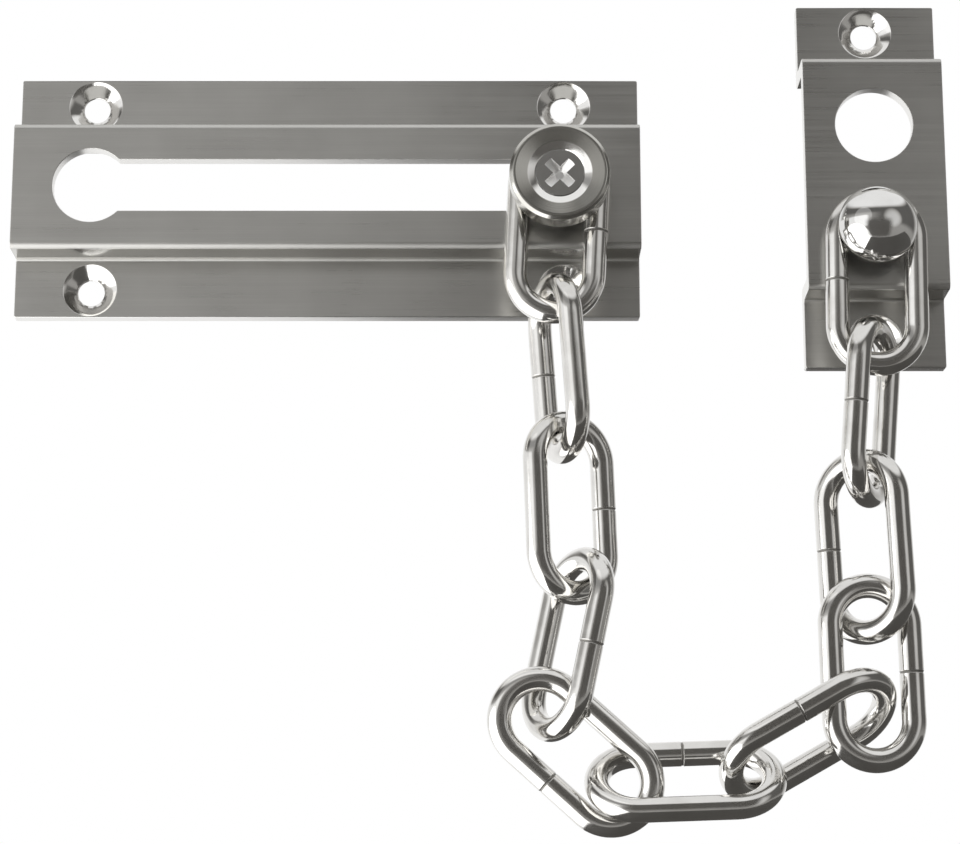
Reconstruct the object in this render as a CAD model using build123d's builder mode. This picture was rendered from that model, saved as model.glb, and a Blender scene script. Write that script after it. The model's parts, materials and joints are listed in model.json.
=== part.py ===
"""Door chain: a slotted slide plate, a keeper plate, and the chain of welded links between them.

Millimetres, as mounted on a closed door: X to the right, Z up, and the door's surface at Y = 0 with the
fittings standing out of it towards -Y. The origin is the middle of the slide plate's four screw holes.
"""

import os
from math import acos, degrees

from build123d import *

# Both plates are pressed to a hat section: two flanges on the door and a raised web between them
sheet = 2.4
web_depth = 9.0
bend_outer = 1.0
bend_inner = 0.4
corner_radius = 0.3
screw_hole = 4.2
screw_sink = 8.6
screw_sink_angle = 100
screws_from_edge = 4.5

# Slide plate on the door, lying across it
plate_length = 100.0
plate_height = 40.0
plate_web_height = 20.8
screws_from_end = 12.0
keyhole_from_end = 12.5
keyhole_bore = 12.2
slot_from_end = 13.1
slot_width = 8.5

# Keeper plate on the door frame, standing upright beyond the slide plate's end
keeper_gap = 26.2
keeper_z = 2.2
keeper_width = 22.4
keeper_height = 61.0
keeper_web_height = 38.7
parking_bore = 12.4
parking_above = 7.9

# Chain links, bent from round wire and closed with a butt seam in one leg
wire = 3.8
link_length = 30.5
link_width = 16.2
link_clearance = 0.25
seam_width = 0.35
seam_depth = 0.15

# Stud that carries the last link, a shouldered rivet with a domed head
stud_below = 10.2
stud_offset = -0.6
stud_neck = 5.0
stud_shank = 4.0
stud_head = 12.4
stud_rim = 0.8
stud_dome = 4.4
rivet_head = 6.8
rivet_height = 1.2
rivet_fit = 0.05

# Slider: a turned foot behind the slot, a neck through it and a dished cap screwed on in front. The cap's
# front slopes gently inwards and then more steeply, as a bowl, down to the head of its screw.
slide_clearance = 0.15
neck = 7.0
foot_bore_clearance = 0.4
foot_height = 2.0
foot_gap = 0.3
foot_edge = 0.4
cap = 15.8
cap_height = 4.5
cap_chamfer = 0.5
cap_back_chamfer = 0.4
cap_rim = 0.4
cap_dish = 0.4
cap_bowl = 10.1
cap_bowl_depth = 0.55
cap_screw = 4.0
cap_screw_head = 7.6
cap_screw_fit = 0.1
cap_screw_reach = 6.0
recess_span = 5.4
recess_width = 1.4
recess_depth = 1.5

# How the chain hangs, from the slider to the stud. A heading is the way a link runs: 0 straight down, 90 to
# the right, 180 straight up. A twist turns a link about its own length, out of the plane of the door.
hang_clearance = 0.3
left_headings = [-3, 4, 2, -12]
bottom_heading = 92
right_headings = [181, 182, 175, 179]
twist_angles = [0, 69, -32, 56, 6, -43, 55, 8, -37, 61, 0]
# At each of the places where two links hook together, the play left between them, as a share of the wire, and
# which way it lies
play_shares = [0.13, 0.18, 0.45, 1.18, 1.08, 0.66, 1.76, 0.89, 0.45, 0.5]
lean_angles = [1, -4, -18, 47, 59, 92, 172, 181, 191, 182]
# The leg that carries the butt seam, on the +1 or -1 side of the link
seam_sides = [1, -1, 1, 1, -1, 1, 1, -1, 1, 1, 1]

os.makedirs("parts", exist_ok=True)


def hat_section(plane: Plane, middle: float, height: float, web_height: float) -> Sketch:
    """Return the bent sheet's cross-section, with the door along the plane's own Y axis."""
    edge = height / 2
    wall = web_height / 2
    with BuildSketch(plane) as section:
        with BuildLine():
            Polyline(
                (0, middle + edge),
                (-sheet, middle + edge),
                (-sheet, middle + wall),
                (-web_depth, middle + wall),
                (-web_depth, middle - wall),
                (-sheet, middle - wall),
                (-sheet, middle - edge),
                (0, middle - edge),
                (0, middle - wall + sheet),
                (sheet - web_depth, middle - wall + sheet),
                (sheet - web_depth, middle + wall - sheet),
                (0, middle + wall - sheet),
                close=True,
            )
        make_face()
        columns = section.vertices().group_by(Axis.X)
        fillet(columns[1] + columns[2].sort_by(Axis.Y)[1:3], bend_inner)
        columns = section.vertices().group_by(Axis.X)
        fillet(columns[0] + columns[-1].sort_by(Axis.Y)[1:3], bend_outer)
    return section.sketch


def turning_plane(x: float, z: float) -> Plane:
    """Return the plane of a turned piece's half profile: radius along X, height off the door along Y."""
    return Plane(origin=(x, 0, z), x_dir=(1, 0, 0), z_dir=(0, 0, -1))


# Slide plate: the web is pierced by a keyhole that runs on as the slot
keyhole_x = keyhole_from_end - plate_length / 2
slot_end_x = plate_length / 2 - slot_from_end
plate_screws_x = plate_length - 2 * screws_from_end
plate_screws_z = plate_height - 2 * screws_from_edge
with BuildPart() as slide_plate:
    extrude(hat_section(Plane.YZ, 0, plate_height, plate_web_height), amount=plate_length / 2, both=True)
    with BuildSketch(Plane.XZ.offset(web_depth)):
        with Locations((keyhole_x, 0)):
            Circle(keyhole_bore / 2)
        with Locations(((keyhole_x + slot_end_x) / 2, 0)):
            SlotCenterToCenter(slot_end_x - keyhole_x, slot_width)
    extrude(amount=-web_depth, mode=Mode.SUBTRACT)
    corners = slide_plate.edges().filter_by(Axis.Y)
    fillet(corners.group_by(Axis.Z)[0] + corners.group_by(Axis.Z)[-1], corner_radius)
    with Locations(Plane.XZ.offset(sheet)):
        with GridLocations(plate_screws_x, plate_screws_z, 2, 2):
            CounterSinkHole(screw_hole / 2, screw_sink / 2, counter_sink_angle=screw_sink_angle)
slide_plate.part.label = "slide_plate"
export_step(slide_plate.part, "parts/slide_plate.step")

# Keeper plate: a bore above to park the slider in, and a small one below for the riveted stud
keeper_x = plate_length / 2 + keeper_gap + keeper_width / 2
keeper_screws_z = keeper_height - 2 * screws_from_edge
stud_x = keeper_x + stud_offset
stud_z = keeper_z - stud_below
with BuildPart() as keeper_plate:
    keeper_section = hat_section(Plane.YZ.offset(keeper_x), keeper_z, keeper_height, keeper_web_height)
    extrude(keeper_section, amount=keeper_width / 2, both=True)
    with BuildSketch(Plane.XZ.offset(web_depth)):
        with Locations((keeper_x, keeper_z + parking_above)):
            Circle(parking_bore / 2)
        with Locations((stud_x, stud_z)):
            Circle(stud_shank / 2 + rivet_fit)
    extrude(amount=-web_depth, mode=Mode.SUBTRACT)
    corners = keeper_plate.edges().filter_by(Axis.Y)
    fillet(corners.group_by(Axis.Z)[0] + corners.group_by(Axis.Z)[-1], corner_radius)
    with Locations(Plane.XZ.offset(sheet)):
        with Locations((keeper_x, keeper_z)):
            with GridLocations(0, keeper_screws_z, 1, 2):
                CounterSinkHole(screw_hole / 2, screw_sink / 2, counter_sink_angle=screw_sink_angle)
keeper_plate.part.label = "keeper_plate"
export_step(keeper_plate.part, "parts/keeper_plate.step")

# The first and last links lie flat between a web and the head in front of it
link_gap = wire + 2 * link_clearance
head_seat = web_depth + link_gap
web_back = web_depth - sheet

# Keeper stud: riveted behind the web, shouldered on its front, with a domed head past the link
dome_top = head_seat + stud_rim + stud_dome
dome_radius = ((stud_head / 2) ** 2 + stud_dome**2) / (2 * stud_dome)
with BuildPart() as keeper_stud:
    with BuildSketch(turning_plane(stud_x, stud_z)):
        with BuildLine():
            Polyline(
                (0, dome_top),
                (0, web_back - rivet_height),
                (rivet_head / 2, web_back - rivet_height),
                (rivet_head / 2, web_back),
                (stud_shank / 2, web_back),
                (stud_shank / 2, web_depth),
                (stud_neck / 2, web_depth),
                (stud_neck / 2, head_seat),
                (stud_head / 2, head_seat),
                (stud_head / 2, head_seat + stud_rim),
            )
            RadiusArc((stud_head / 2, head_seat + stud_rim), (0, dome_top), -dome_radius)
        make_face()
    revolve(axis=Axis((stud_x, 0, stud_z), (0, -1, 0)))
keeper_stud.part.label = "keeper_stud"
export_step(keeper_stud.part, "parts/keeper_stud.step")

# The slider stands at the right end of the slot and its neck bears on the slot's lower edge
slider_x = slot_end_x
slider_z = neck / 2 + slide_clearance - slot_width / 2
slider_plane = turning_plane(slider_x, slider_z)
slider_axis = Axis((slider_x, 0, slider_z), (0, -1, 0))

# Slider foot: small enough for the keyhole, too large for the slot
foot = keyhole_bore - 2 * foot_bore_clearance
foot_front = web_back - foot_gap
with BuildPart() as slider_foot:
    with BuildSketch(slider_plane):
        with BuildLine():
            Polyline(
                (0, foot_front - foot_height),
                (foot / 2, foot_front - foot_height),
                (foot / 2, foot_front),
                (neck / 2, foot_front),
                (neck / 2, head_seat),
                (cap_screw / 2, head_seat),
                (cap_screw / 2, head_seat - cap_screw_reach),
                (0, head_seat - cap_screw_reach),
                close=True,
            )
        make_face()
    revolve(axis=slider_axis)
    fillet(slider_foot.edges().filter_by(GeomType.CIRCLE).group_by(SortBy.RADIUS)[-1], foot_edge)
slider_foot.part.label = "slider_foot"
export_step(slider_foot.part, "parts/slider_foot.step")

# Slider cap: a thick disc with a chamfered rim, a dished front and a countersunk hole
cap_front = head_seat + cap_height
dish_edge = cap / 2 - cap_chamfer - cap_rim
bowl_top = cap_front - cap_dish
sink_edge = cap_screw_head / 2 + cap_screw_fit
sink_top = bowl_top - cap_bowl_depth
sink_bore = cap_screw / 2 + cap_screw_fit
with BuildPart() as slider_cap:
    with BuildSketch(slider_plane):
        with BuildLine():
            Polyline(
                (sink_edge, sink_top),
                (sink_bore, sink_top - sink_edge + sink_bore),
                (sink_bore, head_seat),
                (cap / 2 - cap_back_chamfer, head_seat),
                (cap / 2, head_seat + cap_back_chamfer),
                (cap / 2, cap_front - cap_chamfer),
                (cap / 2 - cap_chamfer, cap_front),
                (dish_edge, cap_front),
                (cap_bowl / 2, bowl_top),
                close=True,
            )
        make_face()
    revolve(axis=slider_axis)
slider_cap.part.label = "slider_cap"
export_step(slider_cap.part, "parts/slider_cap.step")

# The screw's cross recess: two crossed arms whose floors slope down to the middle
screw_top = sink_top
recess_plane = Plane(origin=(slider_x, -screw_top, slider_z), x_dir=(1, 0, 1), z_dir=(0, -1, 0))
with BuildPart() as recess:
    with BuildSketch(recess_plane):
        Rectangle(recess_span, recess_width)
        Rectangle(recess_width, recess_span)
    extrude(amount=-recess_depth)
    with BuildSketch(slider_plane):
        with BuildLine():
            Polyline(
                (0, screw_top),
                (recess_span / 2, screw_top),
                (recess_width / 2, screw_top - recess_depth),
                (0, screw_top - recess_depth),
                close=True,
            )
        make_face()
    revolve(axis=slider_axis, mode=Mode.INTERSECT)

# Slider screw, countersunk
screw_tip = head_seat - cap_screw_reach + cap_screw_fit
screw_shank = cap_screw / 2 - cap_screw_fit
with BuildPart() as slider_screw:
    with BuildSketch(slider_plane):
        with BuildLine():
            Polyline(
                (0, screw_top),
                (cap_screw_head / 2, screw_top),
                (screw_shank, screw_top - cap_screw_head / 2 + screw_shank),
                (screw_shank, screw_tip),
                (0, screw_tip),
                close=True,
            )
        make_face()
    revolve(axis=slider_axis)
    add(recess.part, mode=Mode.SUBTRACT)
slider_screw.part.label = "slider_screw"
export_step(slider_screw.part, "parts/slider_screw.step")


def running(heading: float) -> Vector:
    """Return the unit vector, in the plane of the door, of a link that runs at this heading."""
    return Vector(0, 0, -1).rotate(Axis.Y, -heading)


# Each link reaches from the middle of the wire in one bow to the middle of the wire in the other
link_y = -(web_depth + link_gap / 2)
bow_radius = (link_width - wire) / 2
leg_length = link_length - link_width
reach = link_length - wire
hooks = [(1 + play) * wire * running(lean) for play, lean in zip(play_shares, lean_angles)]

# From the slider's neck down the left side, and from the stud's neck down the right side
left_runs = [running(heading) for heading in left_headings]
right_runs = [running(heading) for heading in right_headings]
neck_hold = (neck + wire) / 2 + hang_clearance
stud_hold = (stud_neck + wire) / 2 + hang_clearance
left_starts = [Vector(slider_x, link_y, slider_z) - neck_hold * left_runs[0]]
for run, hook in zip(left_runs, hooks):
    left_starts.append(left_starts[-1] + reach * run - hook)
right_starts = [Vector(stud_x, link_y, stud_z) + (stud_hold - reach) * right_runs[-1]]
for run, hook in zip(reversed(right_runs[:-1]), reversed(hooks[-3:])):
    right_starts.insert(0, right_starts[0] + hook - reach * run)

# The lowest three links close the loop: the middle one keeps its heading, its neighbours swing to meet it
bottom_run = running(bottom_heading)
span = right_starts[0] + hooks[6] - left_starts[-1] + hooks[4] + hooks[5] - reach * bottom_run
opening = degrees(acos(span.length / (2 * reach)))
falling_run = span.normalized().rotate(Axis.Y, opening)
rising_run = span.normalized().rotate(Axis.Y, -opening)
bottom_start = left_starts[-1] + reach * falling_run - hooks[4]
rising_start = bottom_start + reach * bottom_run - hooks[5]

# Chain links: two straight legs joined by half-round bows
runs = left_runs + [falling_run, bottom_run, rising_run] + right_runs
starts = left_starts + [bottom_start, rising_start] + right_starts
for number, (run, start, twist, seam_side) in enumerate(zip(runs, starts, twist_angles, seam_sides), 1):
    across = run.cross(Vector(0, 1, 0)).rotate(Axis((0, 0, 0), run), twist)
    middle = Plane(origin=start + reach / 2 * run, x_dir=across, z_dir=run)
    with BuildPart() as link:
        with BuildSketch(middle):
            with Locations((bow_radius, 0), (-bow_radius, 0)):
                Circle(wire / 2)
        extrude(amount=leg_length / 2, both=True)
        for end in (1, -1):
            with BuildSketch(middle.offset(end * leg_length / 2)):
                with Locations((bow_radius, 0)):
                    Circle(wire / 2)
            bow_centre = middle.origin + end * leg_length / 2 * run
            revolve(axis=Axis(bow_centre, -end * middle.y_dir), revolution_arc=180)
        with BuildSketch(middle):
            with Locations((seam_side * bow_radius, 0)):
                Circle(wire)
                Circle(wire / 2 - seam_depth, mode=Mode.SUBTRACT)
        extrude(amount=seam_width / 2, both=True, mode=Mode.SUBTRACT)
    link.part.label = f"link_{number:02d}"
    export_step(link.part, f"parts/link_{number:02d}.step")
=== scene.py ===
"""Door chain on a white ground: satin plates, a dished slider, a domed stud and polished wire links.

Metres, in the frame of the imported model: X along the slot towards the keeper, Y into the door, Z up.
"""

import json
import logging
import math
from collections.abc import Sequence
from dataclasses import dataclass, field
from enum import Enum

import bmesh
import bpy
import numpy as np
from mathutils import Matrix, Vector

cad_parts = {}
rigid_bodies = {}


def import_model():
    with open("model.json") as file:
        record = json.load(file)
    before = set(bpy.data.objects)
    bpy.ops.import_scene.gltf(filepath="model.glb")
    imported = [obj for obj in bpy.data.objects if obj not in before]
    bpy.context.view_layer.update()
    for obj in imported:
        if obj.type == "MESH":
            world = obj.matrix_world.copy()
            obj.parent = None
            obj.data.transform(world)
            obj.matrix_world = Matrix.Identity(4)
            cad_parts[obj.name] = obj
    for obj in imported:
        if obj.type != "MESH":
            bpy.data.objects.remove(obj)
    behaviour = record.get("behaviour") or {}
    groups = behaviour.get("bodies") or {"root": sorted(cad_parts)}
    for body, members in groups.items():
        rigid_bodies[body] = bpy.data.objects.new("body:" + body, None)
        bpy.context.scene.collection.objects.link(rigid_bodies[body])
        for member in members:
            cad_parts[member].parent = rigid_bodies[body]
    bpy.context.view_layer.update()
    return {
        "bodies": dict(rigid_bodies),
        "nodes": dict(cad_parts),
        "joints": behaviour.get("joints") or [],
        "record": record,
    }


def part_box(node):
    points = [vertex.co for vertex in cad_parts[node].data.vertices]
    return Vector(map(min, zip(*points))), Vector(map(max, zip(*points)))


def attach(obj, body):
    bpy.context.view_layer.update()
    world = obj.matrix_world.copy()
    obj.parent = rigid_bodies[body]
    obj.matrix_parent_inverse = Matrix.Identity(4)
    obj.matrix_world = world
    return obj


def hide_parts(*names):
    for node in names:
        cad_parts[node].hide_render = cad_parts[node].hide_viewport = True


LOG = logging.getLogger("door_chain")
MM = 0.001
WELD_REACH = 2e-6
FLAT_TURN = 0.3
ON_AXIS = 1e-6

Colour = tuple[float, float, float]
Point = tuple[float, float, float]
Band = tuple[float, float]
Spot = tuple[float, float]
Profile = list[Spot]

WHITE: Colour = (1.0, 1.0, 1.0)
BLACK: Colour = (0.0, 0.0, 0.0)


class Slot(Enum):
    """The finishes that the part's record names."""

    SATIN = "satin_nickel"
    POLISHED = "polished_chrome"


class Signal:
    """One output socket of a node graph, with arithmetic that adds Math nodes to that graph."""

    def __init__(self, graph: "NodeGraph", socket: bpy.types.NodeSocket) -> None:
        """Keep the graph and the socket that this signal stands for."""
        self.graph = graph
        self.socket = socket

    def out(self, name: str) -> "Signal":
        """Return another output of the same node."""
        return Signal(self.graph, self.socket.node.outputs[name])

    def _math(self, operation: str, *terms: "Signal | float") -> "Signal":
        """Return the result of one Math node over the terms."""
        return self.graph.node("ShaderNodeMath", {"operation": operation}, dict(enumerate(terms)))

    def __add__(self, other: "Signal | float") -> "Signal":
        """Return self + other."""
        return self._math("ADD", self, other)

    def __radd__(self, other: float) -> "Signal":
        """Return other + self."""
        return self._math("ADD", other, self)

    def __sub__(self, other: "Signal | float") -> "Signal":
        """Return self - other."""
        return self._math("SUBTRACT", self, other)

    def __rsub__(self, other: float) -> "Signal":
        """Return other - self."""
        return self._math("SUBTRACT", other, self)

    def __mul__(self, other: "Signal | float") -> "Signal":
        """Return self * other."""
        return self._math("MULTIPLY", self, other)

    def __rmul__(self, other: float) -> "Signal":
        """Return other * self."""
        return self._math("MULTIPLY", other, self)

    def __truediv__(self, other: "Signal | float") -> "Signal":
        """Return self / other."""
        return self._math("DIVIDE", self, other)

    def __mod__(self, other: "Signal | float") -> "Signal":
        """Return self modulo other, never below zero."""
        return self._math("FLOORED_MODULO", self, other)

    def __abs__(self) -> "Signal":
        """Return the size of self without its sign."""
        return self._math("ABSOLUTE", self)

    def at_least(self, other: "Signal | float") -> "Signal":
        """Return the larger of self and other."""
        return self._math("MAXIMUM", self, other)

    def smooth(self, low: "Signal | float", high: "Signal | float") -> "Signal":
        """Return a soft step of self.

        Args:
            low: the value at which the step starts, as 0.
            high: the value at which it ends, as 1.

        Returns:
            The step, from 0 to 1.
        """
        return self.graph.node(
            "ShaderNodeMapRange",
            {"interpolation_type": "SMOOTHSTEP"},
            {"Value": self, "From Min": low, "From Max": high},
        )


class NodeGraph:
    """A shader, world or geometry tree that is written node by node."""

    def __init__(self, tree: bpy.types.NodeTree) -> None:
        """Start from an empty tree."""
        self.tree = tree
        tree.nodes.clear()

    def node(
        self,
        kind: str,
        settings: dict[str, object] | None = None,
        sockets: dict[str | int, object] | None = None,
        output: str | int = 0,
    ) -> Signal | None:
        """Add one node.

        Args:
            kind: the node's type.
            settings: the node's own properties, set before its sockets.
            sockets: values or signals for its inputs, by name or by index.
            output: the output that the returned signal reads.

        Returns:
            The chosen output, or None for a node without outputs.
        """
        made = self.tree.nodes.new(kind)
        for name, value in (settings or {}).items():
            setattr(made, name, value)
        for key, value in (sockets or {}).items():
            if isinstance(value, Signal):
                self.tree.links.new(value.socket, made.inputs[key])
            else:
                made.inputs[key].default_value = value
        return Signal(self, made.outputs[output]) if len(made.outputs) else None

    def place(self) -> Signal:
        """Return the piece's own coordinates."""
        return self.node("ShaderNodeTexCoord", output="Object")

    def attribute(self, name: str) -> Signal:
        """Return a mark that the piece's faces or points carry."""
        return self.node("ShaderNodeAttribute", {"attribute_name": name}, output="Fac")

    def mix(self, factor: Signal, first: Colour | Signal, second: Colour | Signal) -> Signal:
        """Return a colour between two colours.

        Args:
            factor: 0 for the first colour and 1 for the second.
            first: a colour, or a signal that carries one.
            second: the other colour.

        Returns:
            The mixed colour.
        """
        ends = [(*c, 1.0) if isinstance(c, tuple) else c for c in (first, second)]
        return self.node(
            "ShaderNodeMix", {"data_type": "RGBA"}, {0: factor, 6: ends[0], 7: ends[1]}, output=2
        )

    def noise(self, place: Signal, stretch: Point, detail: float = 2.0) -> Signal:
        """Return noise from 0 to 1.

        Args:
            place: the coordinates that it is read at.
            stretch: the pattern's repeats per metre along each axis.
            detail: how many finer layers it has.

        Returns:
            The noise.
        """
        scaled = self.node("ShaderNodeMapping", {}, {"Vector": place, "Scale": stretch})
        return self.node("ShaderNodeTexNoise", {}, {"Vector": scaled, "Scale": 1.0, "Detail": detail})

    def bump(self, height: Signal, distance: float) -> Signal:
        """Return a normal bent by a height, where 1 stands for the distance in metres."""
        sockets = {"Strength": 1.0, "Distance": distance, "Height": height}
        return self.node("ShaderNodeBump", {}, sockets)

    def surface(self, sockets: dict[str, object]) -> None:
        """Send one Principled shader with these sockets to the material's output."""
        shader = self.node("ShaderNodeBsdfPrincipled", {}, sockets)
        self.node("ShaderNodeOutputMaterial", {}, {"Surface": shader})


def new_material(name: str) -> tuple[bpy.types.Material, NodeGraph]:
    """Return a new material and its empty graph."""
    material = bpy.data.materials.new(name)
    material.use_nodes = True
    return material, NodeGraph(material.node_tree)


@dataclass(frozen=True)
class SatinNickel:
    """Nickel brushed along the plate, with bright countersinks and plain sheared edges."""

    name: str = "satin_nickel_brushed"
    light: Colour = (0.70, 0.693, 0.666)
    dark: Colour = (0.56, 0.553, 0.532)
    cut: Colour = (0.90, 0.89, 0.87)
    roughness: float = 0.31
    drawn_roughness: float = 0.22
    fine_grain: Point = (55.0, 6500.0, 6500.0)
    long_grain: Point = (12.0, 1700.0, 1700.0)
    clouds: Point = (70.0, 70.0, 70.0)
    fine_share: float = 0.6
    grain_height: float = 7e-6
    grain_tone: float = 0.9
    grain_roughness: float = 0.22
    cloud_tone: float = 1.1
    cloud_roughness: float = 0.1
    bored_polish: float = 0.62
    sheared_cut: float = 0.8
    sheared_wear: float = 0.6

    def material(self) -> bpy.types.Material:
        """Return the finish as a material.

        Returns:
            A material that reads Object coordinates and the face attributes bored, sheared and drawn.
        """
        material, graph = new_material(self.name)
        place = graph.place()
        fine = graph.noise(place, self.fine_grain, 3.0)
        long = graph.noise(place, self.long_grain, 2.0)
        cloud = graph.noise(place, self.clouds, 3.0) - 0.5
        bored, sheared, drawn = (graph.attribute(mark) for mark in ("bored", "sheared", "drawn"))
        brush = fine * self.fine_share + long * (1 - self.fine_share)
        brushed = (1 - bored) * (1 - sheared * self.sheared_wear)
        grain = brush - 0.5
        tone = 0.5 + grain * self.grain_tone * brushed + cloud * self.cloud_tone
        rough = self.roughness + grain * self.grain_roughness * brushed + cloud * self.cloud_roughness
        bright = bored.at_least(sheared * self.sheared_cut)
        graph.surface(
            {
                "Base Color": graph.mix(bright, graph.mix(tone, self.dark, self.light), self.cut),
                "Metallic": 1.0,
                "Roughness": rough * (1 - bored * self.bored_polish) + drawn * self.drawn_roughness,
                "Normal": graph.bump(brush * brushed, self.grain_height),
            }
        )
        return material


@dataclass(frozen=True)
class TurnedNickel:
    """Nickel turned on a lathe: fine rings about the piece's own axis, and a bright bowl in its middle."""

    name: str = "satin_nickel_turned"
    light: Colour = (0.66, 0.65, 0.61)
    dark: Colour = (0.52, 0.51, 0.48)
    cut: Colour = (0.92, 0.91, 0.89)
    cut_radius: float = 5.05 * MM
    cut_edge: float = 0.1 * MM
    cut_polish: float = 0.4
    roughness: float = 0.17
    rings: float = 9000.0
    ring_height: float = 2.5e-6
    ring_tone: float = 0.6
    ring_roughness: float = 0.06
    clouds: Point = (160.0, 160.0, 160.0)
    cloud_tone: float = 0.5
    cloud_roughness: float = 0.12

    def material(self, axis: Vector) -> bpy.types.Material:
        """Return the finish as a material.

        Args:
            axis: a point on the axis of turning, which runs along Y.

        Returns:
            A material whose rings are centred on that axis.
        """
        material, graph = new_material(self.name)
        place = graph.place()
        shift = (-axis.x, 0.0, -axis.z)
        centred = graph.node("ShaderNodeMapping", {}, {"Vector": place, "Location": shift})
        flat = graph.node(
            "ShaderNodeVectorMath", {"operation": "MULTIPLY"}, {0: centred, 1: (1.0, 0.0, 1.0)}
        )
        radius = graph.node("ShaderNodeVectorMath", {"operation": "LENGTH"}, {0: flat}, output="Value")
        ring = graph.node(
            "ShaderNodeTexNoise",
            {"noise_dimensions": "1D"},
            {"W": radius * self.rings, "Scale": 1.0, "Detail": 2.0},
        )
        groove = ring - 0.5
        cloud = graph.noise(place, self.clouds, 3.0) - 0.5
        bowl = 1 - radius.smooth(self.cut_radius - self.cut_edge, self.cut_radius + self.cut_edge)
        tone = 0.5 + groove * self.ring_tone + cloud * self.cloud_tone
        rough = self.roughness + cloud * self.cloud_roughness + groove * self.ring_roughness
        graph.surface(
            {
                "Base Color": graph.mix(bowl, graph.mix(tone, self.dark, self.light), self.cut),
                "Metallic": 1.0,
                "Roughness": rough * (1 - bowl * self.cut_polish),
                "Normal": graph.bump(ring, self.ring_height),
            }
        )
        return material


@dataclass(frozen=True)
class PolishedChrome:
    """Bright plating over wire and turned steel, a little uneven, dull inside a seam, and painted lighter
    inside a screw's recess as a painted highlight for the light caught there.
    """

    name: str = "polished_chrome_plate"
    bright: Colour = (0.90, 0.895, 0.88)
    clouded: Colour = (0.80, 0.795, 0.78)
    seam: Colour = (0.32, 0.31, 0.29)
    # Painted highlight: the recess colour is lighter than the plating to stand in for the light caught
    # inside the screw's cross; its extra roughness is the dull plating there.
    recess_highlight: Colour = (0.98, 0.975, 0.965)
    roughness: float = 0.07
    ripples: Point = (420.0, 420.0, 420.0)
    ripple_height: float = 9e-6
    clouds: Point = (230.0, 230.0, 230.0)
    cloud_band: Band = (0.35, 0.75)
    cloud_roughness: float = 0.08
    scuffs: Point = (4200.0, 4200.0, 4200.0)
    scuff_roughness: float = 0.05
    seam_roughness: float = 0.4
    struck_roughness: float = 0.36

    def material(self) -> bpy.types.Material:
        """Return the finish as a material.

        Returns:
            A material that reads Object coordinates and the attributes seam and recess.
        """
        material, graph = new_material(self.name)
        place = graph.place()
        ripple = graph.noise(place, self.ripples, 1.0)
        cloud = graph.noise(place, self.clouds, 4.0)
        scuff = graph.noise(place, self.scuffs, 2.0)
        seam, recess = graph.attribute("seam"), graph.attribute("recess")
        outside = graph.mix(cloud.smooth(*self.cloud_band), self.bright, self.clouded)
        # The screw's recess takes the painted highlight colour in place of the plating.
        plate = graph.mix(recess, outside, self.recess_highlight)
        rough = self.roughness + (cloud - 0.5) * self.cloud_roughness + (scuff - 0.5) * self.scuff_roughness
        graph.surface(
            {
                "Base Color": graph.mix(seam, plate, self.seam),
                "Metallic": 1.0,
                "Roughness": rough + seam * self.seam_roughness + recess * self.struck_roughness,
                "Normal": graph.bump(ripple, self.ripple_height),
            }
        )
        return material


def add_object(name: str, mesh: bpy.types.Mesh) -> bpy.types.Object:
    """Return a new object for the mesh, linked to the scene."""
    made = bpy.data.objects.new(name, mesh)
    bpy.context.scene.collection.objects.link(made)
    return made


def merged_shell(node: bpy.types.Object) -> bmesh.types.BMesh:
    """Merge a CAD node's triangles.

    Args:
        node: the node's object, which stays as it is.

    Returns:
        One closed shell of flat and curved faces.
    """
    shell = bmesh.new()
    shell.from_mesh(node.data)
    bmesh.ops.remove_doubles(shell, verts=shell.verts, dist=WELD_REACH)
    limit = math.radians(FLAT_TURN)
    bmesh.ops.dissolve_limit(shell, angle_limit=limit, verts=shell.verts, edges=shell.edges)
    for face in shell.faces:
        face.smooth = True
    for edge in shell.edges:
        edge.smooth = True
    return shell


def shell_object(name: str, shell: bmesh.types.BMesh, finish: bpy.types.Material) -> bpy.types.Object:
    """Return an object made from a shell, which is used up.

    Args:
        name: the object's name.
        shell: the faces.
        finish: its material.

    Returns:
        The object, with plain normals.
    """
    mesh = bpy.data.meshes.new(name)
    shell.to_mesh(mesh)
    shell.free()
    if "custom_normal" in mesh.attributes:
        mesh.attributes.remove(mesh.attributes["custom_normal"])
    mesh.materials.clear()
    mesh.materials.append(finish)
    return add_object(name, mesh)


def settle(piece: bpy.types.Object) -> bpy.types.Object:
    """Turn a piece and its modifiers into a plain mesh.

    Args:
        piece: an object with live modifiers.

    Returns:
        The same object, with the evaluated mesh and no modifiers.
    """
    graph = bpy.context.evaluated_depsgraph_get()
    mesh = bpy.data.meshes.new_from_object(piece.evaluated_get(graph), depsgraph=graph)
    piece.modifiers.clear()
    old, piece.data = piece.data, mesh
    bpy.data.meshes.remove(old)
    mesh.name = piece.name
    return piece


def break_edges(
    piece: bpy.types.Object, width: float, segments: int = 2, sharper_than: float = 28.0
) -> None:
    """Round the sharp edges of a piece as deburring does.

    Args:
        piece: the object to finish.
        width: how far the rounding reaches from each edge, in metres.
        segments: steps across the rounding.
        sharper_than: the smallest turn between two faces, in degrees, that counts as an edge.
    """
    bevel = piece.modifiers.new("broken_edges", "BEVEL")
    bevel.width = width
    bevel.segments = segments
    bevel.limit_method = "ANGLE"
    bevel.angle_limit = math.radians(sharper_than)
    bevel.use_clamp_overlap = False
    bevel.loop_slide = False
    weighted = piece.modifiers.new("flat_faces", "WEIGHTED_NORMAL")
    weighted.keep_sharp = True


def carry(piece: bpy.types.Object, node: str, body: str) -> None:
    """Let a finished piece stand for a CAD node and move with its body.

    Args:
        piece: a finished piece in place.
        node: the node that it stands for.
        body: the body that it rides on.
    """
    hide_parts(node)
    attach(piece, body)
    LOG.info("%s stands for %s: %d faces", piece.name, node, len(piece.data.polygons))


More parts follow.
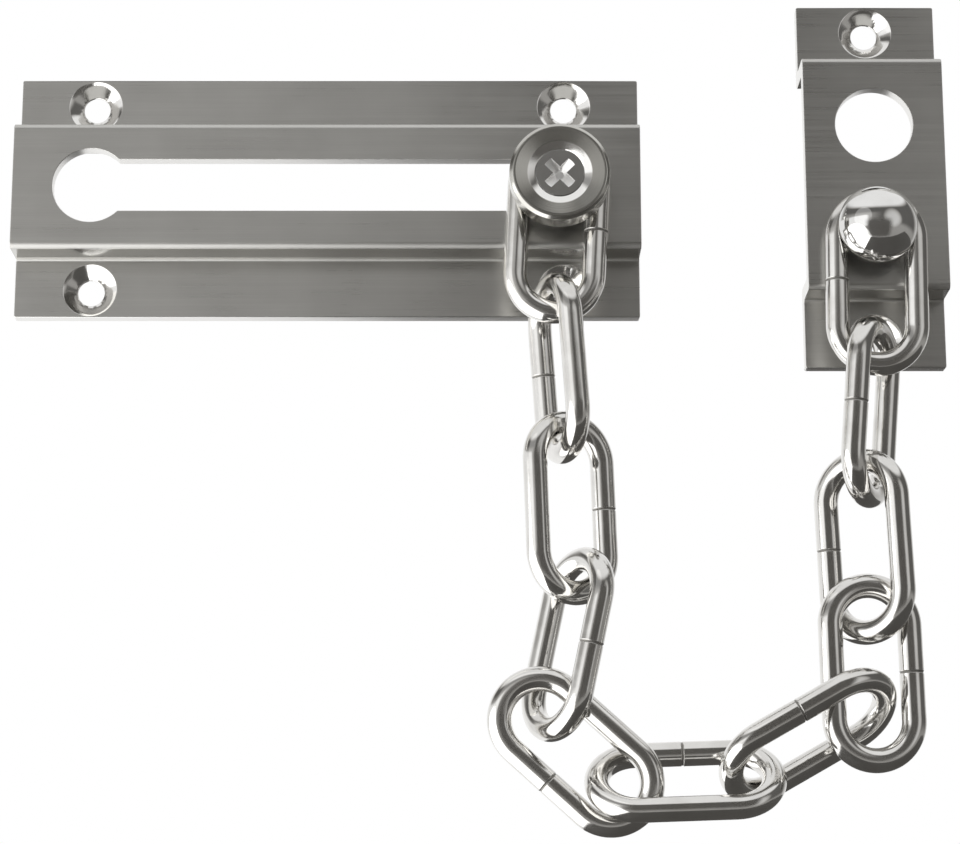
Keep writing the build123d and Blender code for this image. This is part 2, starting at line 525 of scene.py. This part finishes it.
@dataclass
class PressedPlate:
    """A plate pressed from sheet to a hat section, with countersunk screw holes."""

    node: str
    mount: str
    finish: bpy.types.Material
    web_inside: float
    sink_radius: float = 4.5 * MM
    flange_depth: float = 2.5 * MM
    edge: float = 0.13 * MM
    rim: float = 0.1 * MM
    square: float = 0.97
    edge_on: float = 0.05
    bend_start: float = 0.18
    bend_ramp: float = 0.3

    def screw_places(self, record: dict) -> list[Vector]:
        """Return the middle of each screw hole, from the record's bolt pattern.

        Args:
            record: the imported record.

        Returns:
            One point for each hole.
        """
        mount = next(m for m in record["mounts"] if m["name"] == self.mount)
        middle = Vector(mount["pos_m"])
        half_x = mount["dims"].get("spacing_x_mm", 0.0) * MM / 2
        half_z = mount["dims"].get("spacing_y_mm", 0.0) * MM / 2
        places = {(sx * half_x, sz * half_z) for sx in (-1, 1) for sz in (-1, 1)}
        return [middle + Vector((x, 0.0, z)) for x, z in sorted(places)]

    def is_bored(self, face: bmesh.types.BMFace, holes: Sequence[Vector]) -> bool:
        """Return whether a face was bored.

        Args:
            face: a face of the plate.
            holes: the middle of each screw hole.

        Returns:
            True inside a screw hole and on its countersink.
        """
        middle = face.calc_center_median()
        near = min(Vector((middle.x - h.x, middle.z - h.z)).length for h in holes)
        inside = near < self.sink_radius and middle.y > -self.flange_depth
        return inside and abs(face.normal.y) < self.square

    def is_sheared(self, face: bmesh.types.BMFace, low: Vector, high: Vector) -> bool:
        """Return whether a face is a cut through the sheet.

        Args:
            face: a face of the plate.
            low: the lowest corner of the plate's box.
            high: its highest corner.

        Returns:
            True for the plate's ends, its outer edges and what is cut through its web.
        """
        middle = face.calc_center_median()
        at_end = abs(face.normal.x) > self.square
        from_middle = abs(middle.z - (low.z + high.z) / 2)
        in_web = abs(face.normal.y) < self.edge_on and from_middle < self.web_inside
        at_edge = min(middle.z - low.z, high.z - middle.z) < self.rim
        return at_end or in_web or at_edge

    def build(self, nodes: dict[str, bpy.types.Object], record: dict) -> bpy.types.Object:
        """Return the plate as one merged mesh with softened edges.

        Args:
            nodes: the CAD nodes by name.
            record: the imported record.

        Returns:
            The finished plate. Its faces are marked: bored, sheared, and drawn on the bends, with less than
            nothing of that on the walls between them, which the die leaves smooth.
        """
        holes = self.screw_places(record)
        low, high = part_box(self.node)
        shell = merged_shell(nodes[self.node])
        bored = shell.faces.layers.float.new("bored")
        sheared = shell.faces.layers.float.new("sheared")
        drawn = shell.faces.layers.float.new("drawn")
        for face in shell.faces:
            if self.is_bored(face, holes):
                face[bored] = 1.0
            elif self.is_sheared(face, low, high):
                face[sheared] = 1.0
            else:
                slope = abs(face.normal.y)
                into_bend = (slope - self.bend_start) / self.bend_ramp
                face[drawn] = min(1.0, (1 - slope) / self.bend_ramp, into_bend)
        piece = shell_object(self.node + "_pressed", shell, self.finish)
        break_edges(piece, self.edge)
        return settle(piece)


@dataclass
class TurnedPiece:
    """A piece turned about an axis along Y, from a half profile of radius and height in millimetres."""

    node: str
    finish: bpy.types.Material
    profile: Profile
    edge: float = 0.12 * MM
    edge_segments: int = 3
    edge_turn: float = 9.0
    steps: int = 112

    def ring(self, shell: bmesh.types.BMesh, axis: Vector, spot: Spot) -> list[bmesh.types.BMVert]:
        """Turn one point of the profile.

        Args:
            shell: the mesh that takes the vertices.
            axis: a point on the axis.
            spot: the point's radius and its height off the door.

        Returns:
            A ring of vertices, or a single one for a point on the axis.
        """
        radius, height = spot
        turns = 1 if radius < ON_AXIS else self.steps
        angles = [2 * math.pi * k / self.steps for k in range(turns)]
        reach = radius * MM
        return [
            shell.verts.new((axis.x + reach * math.cos(a), -height * MM, axis.z + reach * math.sin(a)))
            for a in angles
        ]

    def build(self) -> bpy.types.Object:
        """Return the piece, turned from its half profile.

        Returns:
            The finished piece. A profile that starts off the axis is closed back to its start.
        """
        low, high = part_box(self.node)
        axis = (low + high) / 2
        shell = bmesh.new()
        rings = [self.ring(shell, axis, spot) for spot in self.profile]
        bands = list(zip(rings, rings[1:]))
        if len(rings[0]) > 1:
            bands.append((rings[-1], rings[0]))
        for ring, following in bands:
            for k in range(self.steps):
                corners = [ring[k % len(ring)], ring[(k + 1) % len(ring)]]
                corners += [following[(k + 1) % len(following)], following[k % len(following)]]
                shell.faces.new(list(dict.fromkeys(corners)))
        bmesh.ops.recalc_face_normals(shell, faces=shell.faces)
        for face in shell.faces:
            face.smooth = True
        piece = shell_object(self.node + "_turned", shell, self.finish)
        break_edges(piece, self.edge, self.edge_segments, self.edge_turn)
        return settle(piece)


def arc(start: Spot, end: Spot, middle: Spot, count: int) -> Profile:
    """Return points on a circular arc of a half profile.

    Args:
        start: the first point.
        end: the last point.
        middle: the arc's centre.
        count: the number of steps.

    Returns:
        The points, with both ends.
    """
    first = math.atan2(start[1] - middle[1], start[0] - middle[0])
    last = math.atan2(end[1] - middle[1], end[0] - middle[0])
    radius = math.hypot(start[0] - middle[0], start[1] - middle[1])
    turns = [first + (last - first) * k / count for k in range(count + 1)]
    return [(middle[0] + radius * math.cos(t), middle[1] + radius * math.sin(t)) for t in turns]


@dataclass
class KeeperStud:
    """The riveted stud whose domed head holds the last link, in millimetres."""

    head: float = 6.2
    neck: float = 2.5
    shank: float = 2.0
    rivet: float = 3.4
    seat: float = 13.3
    rim: float = 14.1
    top: float = 18.5
    web_front: float = 9.0
    web_back: float = 6.6
    tail: float = 5.4
    dome_steps: int = 28
    tail_steps: int = 10

    def profile(self) -> Profile:
        """Return the half profile.

        Returns:
            Points of radius and height off the door, from the dome's top round to the peened tail.
        """
        rise = self.top - self.rim
        dome_radius = (self.head**2 + rise**2) / (2 * rise)
        dome_middle = (0.0, self.top - dome_radius)
        dome = arc((0.0, self.top), (self.head, self.rim), dome_middle, self.dome_steps)
        peen = self.web_back - self.tail
        peen_radius = (self.rivet**2 + peen**2) / (2 * peen)
        peen_middle = (0.0, self.tail + peen_radius)
        tail = arc((self.rivet, self.web_back), (0.0, self.tail), peen_middle, self.tail_steps)
        return [
            (0.0, self.top),
            *dome[1:],
            (self.head, self.seat),
            (self.neck, self.seat),
            (self.neck, self.web_front),
            (self.shank, self.web_front),
            (self.shank, self.web_back),
            *tail[:-1],
            (0.0, self.tail),
        ]


@dataclass
class Slider:
    """The slider's foot and neck behind its dished cap, in millimetres."""

    foot: float = 5.7
    neck: float = 3.5
    bore: float = 2.0
    foot_back: float = 4.3
    foot_front: float = 6.3
    seat: float = 13.3
    bore_end: float = 7.3
    cap: float = 7.9
    cap_front: float = 17.8
    chamfer: float = 0.5
    back_chamfer: float = 0.4
    rim: float = 0.4
    dish: float = 0.4
    bowl: float = 5.05
    bowl_depth: float = 0.55
    sink: float = 3.9
    sink_bore: float = 2.1

    def foot_profile(self) -> Profile:
        """Return the half profile of the foot and neck."""
        return [
            (0.0, self.foot_back),
            (self.foot, self.foot_back),
            (self.foot, self.foot_front),
            (self.neck, self.foot_front),
            (self.neck, self.seat),
            (self.bore, self.seat),
            (self.bore, self.bore_end),
            (0.0, self.bore_end),
        ]

    def cap_profile(self) -> Profile:
        """Return the closed half profile of the cap, from its countersink round to its bowl."""
        bowl_top = self.cap_front - self.dish
        sink_top = bowl_top - self.bowl_depth
        return [
            (self.sink_bore, sink_top - self.sink + self.sink_bore),
            (self.sink_bore, self.seat),
            (self.cap - self.back_chamfer, self.seat),
            (self.cap, self.seat + self.back_chamfer),
            (self.cap, self.cap_front - self.chamfer),
            (self.cap - self.chamfer, self.cap_front),
            (self.cap - self.chamfer - self.rim, self.cap_front),
            (self.bowl, bowl_top),
            (self.sink, sink_top),
        ]


@dataclass
class DrivenScrew:
    """The slider's countersunk screw, with its cross recess."""

    node: str
    finish: bpy.types.Material
    head: float = 3.8 * MM
    head_rim: float = 0.3 * MM
    face_depth: float = 0.03 * MM
    edge: float = 0.06 * MM

    def build(self, nodes: dict[str, bpy.types.Object]) -> bpy.types.Object:
        """Return the screw as one merged mesh with softened edges.

        Args:
            nodes: the CAD nodes by name.

        Returns:
            The finished screw, with the faces of its recess marked.
        """
        low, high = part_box(self.node)
        axis = (low + high) / 2
        shell = merged_shell(nodes[self.node])
        recess = shell.faces.layers.float.new("recess")
        for face in shell.faces:
            middle = face.calc_center_median()
            depth = middle.y - low.y
            radius = math.hypot(middle.x - axis.x, middle.z - axis.z)
            if self.face_depth < depth and radius + depth < self.head - self.head_rim:
                face[recess] = 1.0
        piece = shell_object(self.node + "_driven", shell, self.finish)
        break_edges(piece, self.edge)
        return settle(piece)


@dataclass(frozen=True)
class LinkSeat:
    """Where a link lies and how large it is."""

    place: Matrix
    length: float
    width: float
    wire: float

    @classmethod
    def read(cls, node: bpy.types.Object, seam_reach: float = 1.0 * MM) -> "LinkSeat":
        """Measure a link's CAD node.

        Args:
            node: the link's object.
            seam_reach: how far along the leg the extra points of a seam are looked for.

        Returns:
            Its seat: local Y runs along the link, and local X points to the leg with the seam.
        """
        mesh = node.data
        mesh.calc_loop_triangles()
        points = np.array([v.co for v in mesh.vertices])
        corners = points[np.array([t.vertices for t in mesh.loop_triangles])]
        sides = corners[:, 1:] - corners[:, :1]
        areas = np.linalg.norm(np.cross(sides[:, 0], sides[:, 1]), axis=1)
        middles = corners.mean(axis=1)
        centre = (middles * areas[:, None]).sum(axis=0) / areas.sum()
        spread = ((middles - centre) * areas[:, None]).T @ (middles - centre)
        axes = np.linalg.eigh(spread)[1]
        across, along = axes[:, 1], axes[:, 2]
        local = (points - centre) @ axes
        low, high = local.min(axis=0), local.max(axis=0)
        centre = centre + axes @ ((low + high) / 2)
        ring = points[np.abs((points - centre) @ along) < seam_reach]
        if ((ring - centre) @ across).mean() < 0:
            across = -across
        normal = np.cross(across, along)
        place = Matrix((*zip(across, along, normal, centre), (0.0, 0.0, 0.0, 1.0)))
        wire, width, length = high - low
        return cls(place, float(length), float(width), float(wire))


class BentWireTree:
    """Geometry Nodes that bend a round wire into a closed link with a butt seam in one leg."""

    KINDS = {
        "Length": "NodeSocketFloat",
        "Width": "NodeSocketFloat",
        "Wire": "NodeSocketFloat",
        "Seam Gap": "NodeSocketFloat",
        "Seam Depth": "NodeSocketFloat",
        "Waviness": "NodeSocketFloat",
        "Steps": "NodeSocketInt",
        "Sides": "NodeSocketInt",
        "Seed": "NodeSocketFloat",
        "Finish": "NodeSocketMaterial",
    }
    BOW_POINTS = 48
    LEAST_STEP = 0.12
    SEAM_EDGE: Band = (0.55, 1.45)
    WAVES = 260.0
    SEED_STEP = 7.3

    def __init__(self) -> None:
        """Write the tree and remember the identifier of each of its inputs."""
        self.tree = bpy.data.node_groups.new("bent_wire_link", "GeometryNodeTree")
        self.graph = NodeGraph(self.tree)
        self.inputs: dict[str, str] = {}
        for name, kind in self.KINDS.items():
            socket = self.tree.interface.new_socket(name, in_out="INPUT", socket_type=kind)
            self.inputs[name] = socket.identifier
        self.tree.interface.new_socket("Geometry", in_out="OUTPUT", socket_type="NodeSocketGeometry")
        given = self.graph.node("NodeGroupInput")
        real = self._uneven(given, self._tube(given, self._path(given)))
        finish = {"Geometry": real, "Material": given.out("Finish")}
        finished = self.graph.node("GeometryNodeSetMaterial", {}, finish)
        self.graph.node("NodeGroupOutput", {}, {"Geometry": finished})

    def _path(self, given: Signal) -> Signal:
        """Lay a closed curve along the link's oval.

        Args:
            given: the tree's inputs.

        Returns:
            The curve, with its points crowded about the seam and the seam marked on them.
        """
        graph = self.graph
        wire, steps = given.out("Wire"), given.out("Steps")
        span, reach = given.out("Width") - wire, given.out("Length") - wire
        frame = graph.node("GeometryNodeCurvePrimitiveQuadrilateral", {}, {"Width": span, "Height": reach})
        oval = graph.node(
            "GeometryNodeFilletCurve",
            {"mode": "POLY"},
            {"Curve": frame, "Count": self.BOW_POINTS, "Radius": span * 0.5, "Limit Radius": True},
        )
        total = graph.node("GeometryNodeCurveLength", {}, {"Curve": oval})
        line = graph.node("GeometryNodeCurvePrimitiveLine", {}, {"End": (0.01, 0.0, 0.0)})
        points = graph.node("GeometryNodeResampleCurve", {"mode": "COUNT"}, {"Curve": line, "Count": steps})
        share = graph.node("GeometryNodeInputIndex") / steps - 0.5
        crowded = share * (self.LEAST_STEP + (1 - self.LEAST_STEP) * 2.0 * abs(share))
        travelled = crowded * total
        start = total - (reach - span) * 0.5
        sample = graph.node(
            "GeometryNodeSampleCurve",
            {"mode": "LENGTH", "use_all_curves": True},
            {"Curves": oval, "Length": (start + travelled) % total},
            output="Position",
        )
        laid = graph.node("GeometryNodeSetPosition", {}, {"Geometry": points, "Position": sample})
        closed = graph.node("GeometryNodeSetSplineCyclic", {}, {"Geometry": laid, "Cyclic": True})
        half_gap = given.out("Seam Gap") * 0.5
        inner, outer = self.SEAM_EDGE
        seam = 1 - abs(travelled).smooth(half_gap * inner, half_gap * outer)
        return graph.node(
            "GeometryNodeStoreNamedAttribute",
            {"data_type": "FLOAT", "domain": "POINT"},
            {"Geometry": closed, "Name": "seam", "Value": seam},
        )

    def _tube(self, given: Signal, path: Signal) -> Signal:
        """Draw a round wire along the path, thinner at the seam.

        Args:
            given: the tree's inputs.
            path: the marked curve.

        Returns:
            The wire's surface.
        """
        graph = self.graph
        ring = graph.node(
            "GeometryNodeCurvePrimitiveCircle", {}, {"Resolution": given.out("Sides"), "Radius": 1.0}
        )
        seam = graph.node(
            "GeometryNodeInputNamedAttribute", {"data_type": "FLOAT"}, {"Name": "seam"}, output="Attribute"
        )
        radius = given.out("Wire") * 0.5 - seam * given.out("Seam Depth")
        return graph.node(
            "GeometryNodeCurveToMesh", {}, {"Curve": path, "Profile Curve": ring, "Scale": radius}
        )

    def _uneven(self, given: Signal, tube: Signal) -> Signal:
        """Press slight waves into the wire.

        Args:
            given: the tree's inputs.
            tube: the wire's surface.

        Returns:
            The realized mesh, shaded smooth.
        """
        graph = self.graph
        waves = graph.node(
            "ShaderNodeTexNoise",
            {"noise_dimensions": "4D"},
            {"W": given.out("Seed") * self.SEED_STEP, "Scale": self.WAVES, "Detail": 1.0},
        )
        push = graph.node(
            "ShaderNodeVectorMath",
            {"operation": "SCALE"},
            {0: graph.node("GeometryNodeInputNormal"), "Scale": (waves - 1.0) * given.out("Waviness")},
        )
        pushed = graph.node("GeometryNodeSetPosition", {}, {"Geometry": tube, "Offset": push})
        smooth = graph.node("GeometryNodeSetShadeSmooth", {}, {"Geometry": pushed, "Shade Smooth": True})
        return graph.node("GeometryNodeRealizeInstances", {}, {"Geometry": smooth})


@dataclass
class Chain:
    """Eleven links of bent wire, each hooked in the next."""

    finish: bpy.types.Material
    count: int = 11
    seam_gap: float = 0.3 * MM
    seam_depth: float = 0.13 * MM
    waviness: float = 0.03 * MM
    steps: int = 240
    sides: int = 36
    tree: BentWireTree = field(default_factory=BentWireTree)

    def link(self, number: int, nodes: dict[str, bpy.types.Object]) -> bpy.types.Object:
        """Bend one link.

        Args:
            number: its place in the chain, from the slider.
            nodes: the CAD nodes by name.

        Returns:
            The link as a plain mesh, in place.
        """
        name = f"link_{number:02d}"
        seat = LinkSeat.read(nodes[name])
        piece = add_object(name + "_wire", bpy.data.meshes.new(name + "_wire"))
        modifier = piece.modifiers.new("bent_wire", "NODES")
        modifier.node_group = self.tree.tree
        for key, value in (
            ("Length", seat.length),
            ("Width", seat.width),
            ("Wire", seat.wire),
            ("Seam Gap", self.seam_gap),
            ("Seam Depth", self.seam_depth),
            ("Waviness", self.waviness),
            ("Steps", self.steps),
            ("Sides", self.sides),
            ("Seed", float(number)),
            ("Finish", self.finish),
        ):
            modifier[self.tree.inputs[key]] = value
        settle(piece)
        piece.data.transform(seat.place)
        return piece

    def build(self, nodes: dict[str, bpy.types.Object]) -> None:
        """Bend every link and let it ride on its own body.

        Args:
            nodes: the CAD nodes by name.
        """
        for number in range(1, self.count + 1):
            name = f"link_{number:02d}"
            carry(self.link(number, nodes), name, name)


@dataclass(frozen=True)
class Softbox:
    """A round lamp, with its brightness given as a radiance where 1 is white."""

    name: str
    place: Point
    aim: Point
    radius: float
    radiance: float

    def build(self) -> None:
        """Hang the lamp where the camera doesn't see it."""
        light = bpy.data.lights.new(self.name, "AREA")
        light.shape = "DISK"
        light.size = 2 * self.radius
        light.energy = self.radiance * math.pi * math.pi * self.radius**2
        panel = bpy.data.objects.new(self.name, light)
        panel.location = self.place
        panel.rotation_euler = (Vector(self.aim) - Vector(self.place)).to_track_quat("-Z", "Y").to_euler()
        panel.visible_camera = False
        bpy.context.scene.collection.objects.link(panel)


@dataclass(frozen=True)
class Card:
    """A flat rectangle of the studio: level, or upright where both corners have the same Y."""

    name: str
    low: Point
    high: Point

    def build(self, finish: bpy.types.Material) -> bpy.types.Object:
        """Put up the card.

        Args:
            finish: its material.

        Returns:
            The card.
        """
        low, high = self.low, self.high
        corners = [low, (high[0], low[1], low[2]), high, (low[0], high[1], high[2])]
        mesh = bpy.data.meshes.new(self.name)
        mesh.from_pydata([Vector(c) for c in corners], [], [tuple(range(len(corners)))])
        mesh.materials.append(finish)
        made = add_object(self.name, mesh)
        return made


@dataclass(frozen=True)
class MattPaint:
    """Matt paint that varies a little between two colours."""

    name: str
    first: Colour
    second: Colour
    roughness: float = 0.9
    clouds: Point = (3.0, 3.0, 3.0)

    def material(self) -> bpy.types.Material:
        """Return the paint as a material."""
        material, graph = new_material(self.name)
        tone = graph.noise(graph.place(), self.clouds, 3.0)
        graph.surface({"Base Color": graph.mix(tone, self.first, self.second), "Roughness": self.roughness})
        return material


@dataclass(frozen=True)
class Veil:
    """Dark paint that thins out to nothing towards the edges of an upright card."""

    name: str = "grey_veil"
    colour: Colour = (0.105, 0.10, 0.093)
    roughness: float = 0.9
    fade: Band = (0.45, 1.0)

    def material(self, card: Card) -> bpy.types.Material:
        """Return the paint as a material.

        Args:
            card: the card that it covers.

        Returns:
            A matt material with a soft-edged alpha.
        """
        material, graph = new_material(self.name)
        low, high = Vector(card.low), Vector(card.high)
        middle, reach = (low + high) / 2, (high - low) / 2
        parts = graph.node("ShaderNodeSeparateXYZ", {}, {"Vector": graph.place()}, output="X")
        across = abs((parts - middle.x) / reach.x)
        up = abs((parts.out("Z") - middle.z) / reach.z)
        cover = (1 - across.smooth(*self.fade)) * (1 - up.smooth(*self.fade))
        graph.surface({"Base Color": (*self.colour, 1.0), "Roughness": self.roughness, "Alpha": cover})
        return material


@dataclass(frozen=True)
class Sky:
    """What lies round the object: white to the eye, and to polished metal a room with a bright left side.

    Each level is a brightness, where 1 is white. Each band is the range of a direction's X, Y or Z
    over which that part of the room comes in or fades.
    """

    ambient: float = 0.85
    room: float = 0.11
    warm: Colour = (1.0, 0.975, 0.935)
    warm_band: Band = (0.15, 0.8)
    behind_y: Band = (0.25, 0.70)
    behind_x: Band = (0.2, 0.8)
    behind_loss: float = 0.4
    ceiling: float = 0.85
    ceiling_z: Band = (0.58, 0.74)
    left: float = 0.88
    left_x: Band = (0.36, 0.58)
    left_top: Band = (0.30, 0.40)
    left_foot: Band = (-0.30, -0.10)
    below: float = 0.9
    below_z: Band = (0.60, 0.88)
    below_x: Band = (-0.1, 0.4)
    below_loss: float = 0.8
    patch: float = 0.6
    patch_way: Point = (0.60, -0.77, 0.17)
    patch_band: Band = (0.83, 0.98)
    front_left: float = 0.20
    front_x: Band = (-0.25, 0.50)
    front_foot: Band = (0.0, 0.12)
    front_top: Band = (0.38, 0.50)
    low_front: float = 0.20
    low_z: Band = (-0.10, 0.10)

    def room_seen(self, x: Signal, y: Signal, z: Signal) -> Signal:
        """Return how bright the room is in a direction.

        Args:
            x: the direction's part along X.
            y: its part along Y.
            z: its part along Z.

        Returns:
            The brightness that polished metal mirrors.
        """
        left = 0.0 - x
        behind = y.smooth(*self.behind_y) * (1 - x.smooth(*self.behind_x) * self.behind_loss)
        above = z.smooth(*self.ceiling_z) * self.ceiling
        beside = left.smooth(*self.left_x) * (1 - z.smooth(*self.left_top))
        beside = beside * z.smooth(*self.left_foot) * self.left
        beneath = (0.0 - z).smooth(*self.below_z)
        beneath = beneath * (1 - x.smooth(*self.below_x) * self.below_loss) * self.below
        way = self.patch_way
        near_right = (x * way[0] + y * way[1] + z * way[2]).smooth(*self.patch_band) * self.patch
        level = z.smooth(*self.front_foot) * (1 - z.smooth(*self.front_top))
        low_front = (1 - z.smooth(*self.low_z)) * self.low_front
        far = self.room + low_front + left.smooth(*self.front_x) * level * self.front_left
        return behind.at_least(above).at_least(beside).at_least(beneath).at_least(near_right).at_least(far)

    def build(self) -> None:
        """Write the world: white to the camera, the room to mirrored rays and plain light to the others."""
        world = bpy.data.worlds.new("studio")
        bpy.context.scene.world = world
        world.use_nodes = True
        graph = NodeGraph(world.node_tree)
        ray = graph.node("ShaderNodeLightPath", output="Is Camera Ray")
        glossy = ray.out("Is Glossy Ray").at_least(ray.out("Is Transmission Ray"))
        way = graph.node("ShaderNodeTexCoord", output="Generated")
        parts = graph.node("ShaderNodeSeparateXYZ", {}, {"Vector": way}, output="X")
        seen = self.room_seen(parts, parts.out("Y"), parts.out("Z"))
        level = glossy * seen + (1 - glossy) * self.ambient
        tint = graph.mix(level.smooth(*self.warm_band), self.warm, WHITE)
        sky = graph.mix(ray.at_least(level), BLACK, graph.mix(ray, tint, WHITE))
        shade = graph.node("ShaderNodeBackground", {}, {"Color": sky, "Strength": 1.0})
        graph.node("ShaderNodeOutputWorld", {}, {"Surface": shade})


@dataclass
class Studio:
    """White ground, soft light from the left and above, and the photograph's viewpoint."""

    target: Vector = field(default_factory=lambda: Vector((24.43, 0.0, -36.61)) * MM)
    distance: float = 439.6 * MM
    elevation: float = -13.43
    lens: float = 103.65
    sensor: float = 36.0
    clip: Band = (0.01, 50.0)
    lamps: tuple[Softbox, ...] = (
        Softbox("key_softbox", (-0.188, -0.082, -0.2145), (0.087, -0.018, -0.008), 0.29, 1.35),
        Softbox("fill_softbox", (-0.080, -0.150, 0.047), (-0.030, 0.0, 0.0), 0.11, 0.19),
    )
    floor: Card = Card("floor", (-4.0, -4.0, -0.9), (4.0, 4.0, -0.9))
    floor_paint: MattPaint = MattPaint("pale_floor", (0.80, 0.80, 0.79), (0.84, 0.84, 0.83))
    under: Card = Card("under_card", (-0.02, -0.2, -0.19), (0.9, 0.9, -0.19))
    under_paint: MattPaint = MattPaint("dark_card", (0.066, 0.063, 0.058), (0.082, 0.078, 0.072))
    flag: Card = Card("right_flag", (-0.02, -0.13, -0.14), (0.19, -0.13, 0.03))

    def camera(self) -> None:
        """Place the camera as the photograph's was."""
        lens = bpy.data.cameras.new("viewpoint")
        lens.lens = self.lens
        lens.sensor_width = self.sensor
        lens.clip_start, lens.clip_end = self.clip
        eye = bpy.data.objects.new("viewpoint", lens)
        bpy.context.scene.collection.objects.link(eye)
        tilt = math.radians(self.elevation)
        back = Vector((0.0, -math.cos(tilt), math.sin(tilt)))
        eye.location = self.target + back * self.distance
        eye.rotation_euler = (-back).to_track_quat("-Z", "Y").to_euler()
        bpy.context.scene.camera = eye

    def build(self) -> None:
        """Set up the view, the world, the lamps, the floor and two dark cards that only metal sees."""
        self.camera()
        Sky().build()
        for lamp in self.lamps:
            lamp.build()
        ground = self.floor.build(self.floor_paint.material())
        ground.visible_glossy = False
        under = self.under.build(self.under_paint.material())
        flag = self.flag.build(Veil().material(self.flag))
        for hidden in (under, flag):
            for ray in ("camera", "diffuse", "transmission", "shadow"):
                setattr(hidden, f"visible_{ray}", False)
        bpy.context.scene.view_settings.view_transform = "Standard"


def clear_scene() -> None:
    """Remove what a new Blender file holds."""
    for thing in list(bpy.data.objects):
        bpy.data.objects.remove(thing)


def dress(nodes: dict[str, bpy.types.Object], record: dict) -> None:
    """Make every visible piece in place of its CAD node.

    Args:
        nodes: the CAD nodes by name.
        record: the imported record.
    """
    satin = SatinNickel().material()
    chrome = PolishedChrome().material()
    wire = PolishedChrome(
        name="polished_chrome_wire",
        bright=(0.83, 0.82, 0.797),
        clouded=(0.74, 0.725, 0.70),
        roughness=0.12,
        ripple_height=6e-6,
    ).material()
    low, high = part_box("slider_cap")
    turned = TurnedNickel().material((low + high) / 2)
    for plate in (
        PressedPlate("slide_plate", "slide_plate_screws", satin, 7.5 * MM),
        PressedPlate("keeper_plate", "keeper_screws", satin, 16.0 * MM),
    ):
        carry(plate.build(nodes, record), plate.node, "brackets")
    stud = TurnedPiece("keeper_stud", chrome, KeeperStud().profile())
    carry(stud.build(), "keeper_stud", "brackets")
    slider = Slider()
    foot = TurnedPiece("slider_foot", chrome, slider.foot_profile())
    carry(foot.build(), "slider_foot", "slider")
    cap = TurnedPiece("slider_cap", turned, slider.cap_profile())
    carry(cap.build(), "slider_cap", "slider")
    screw = DrivenScrew("slider_screw", chrome)
    carry(screw.build(nodes), "slider_screw", "slider")
    Chain(wire).build(nodes)


def main() -> None:
    """Load the frame, dress every piece and set up the studio."""
    logging.basicConfig(level=logging.INFO, format="%(name)s: %(message)s")
    clear_scene()
    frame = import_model()
    dress(frame["nodes"], frame["record"])
    Studio().build()


if __name__ == "__main__":
    main()
